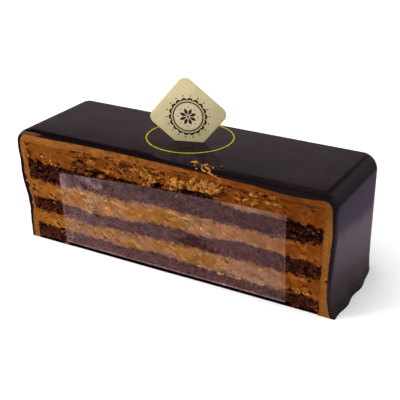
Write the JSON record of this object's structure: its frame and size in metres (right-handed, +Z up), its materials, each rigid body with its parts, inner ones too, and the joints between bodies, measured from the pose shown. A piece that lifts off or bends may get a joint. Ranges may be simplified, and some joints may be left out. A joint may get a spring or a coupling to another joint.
{
  "type": "layered chocolate cake slice",
  "caption": "Long rectangular slice of chocolate layer cake: sponge and cream layers in a cream coat, dark mirror glaze, clear film on the cut face, a card tag and a gold ring on top.",
  "frame": {"origin": "under the middle of the slice, on the surface it stands on", "axes": "+X along the slice, -Y out of the cut face that shows the layers, +Z up"},
  "size_m": [0.129, 0.0446, 0.0664],
  "materials": {
    "glaze": "very dark chocolate mirror glaze, glossy",
    "coat": "caramel chocolate cream, smeared by the knife",
    "cream": "milk chocolate cream, soft, torn in places",
    "sponge": "dark chocolate sponge crumb, open and rough",
    "film": "clear cake film, hazy where it does not touch the cream",
    "card": null,
    "gold": "thin stamped gold ring, satin"
  },
  "bodies": {
    "root": {"glaze": "glaze", "coat": "coat", "sponge_base": "sponge", "cream_low": "cream", "sponge_mid": "sponge", "cream_mid": "cream", "sponge_top": "sponge", "cream_top": "cream", "film": "film", "tag": "card", "gold_ring": "gold"}
  },
  "joints": []
}
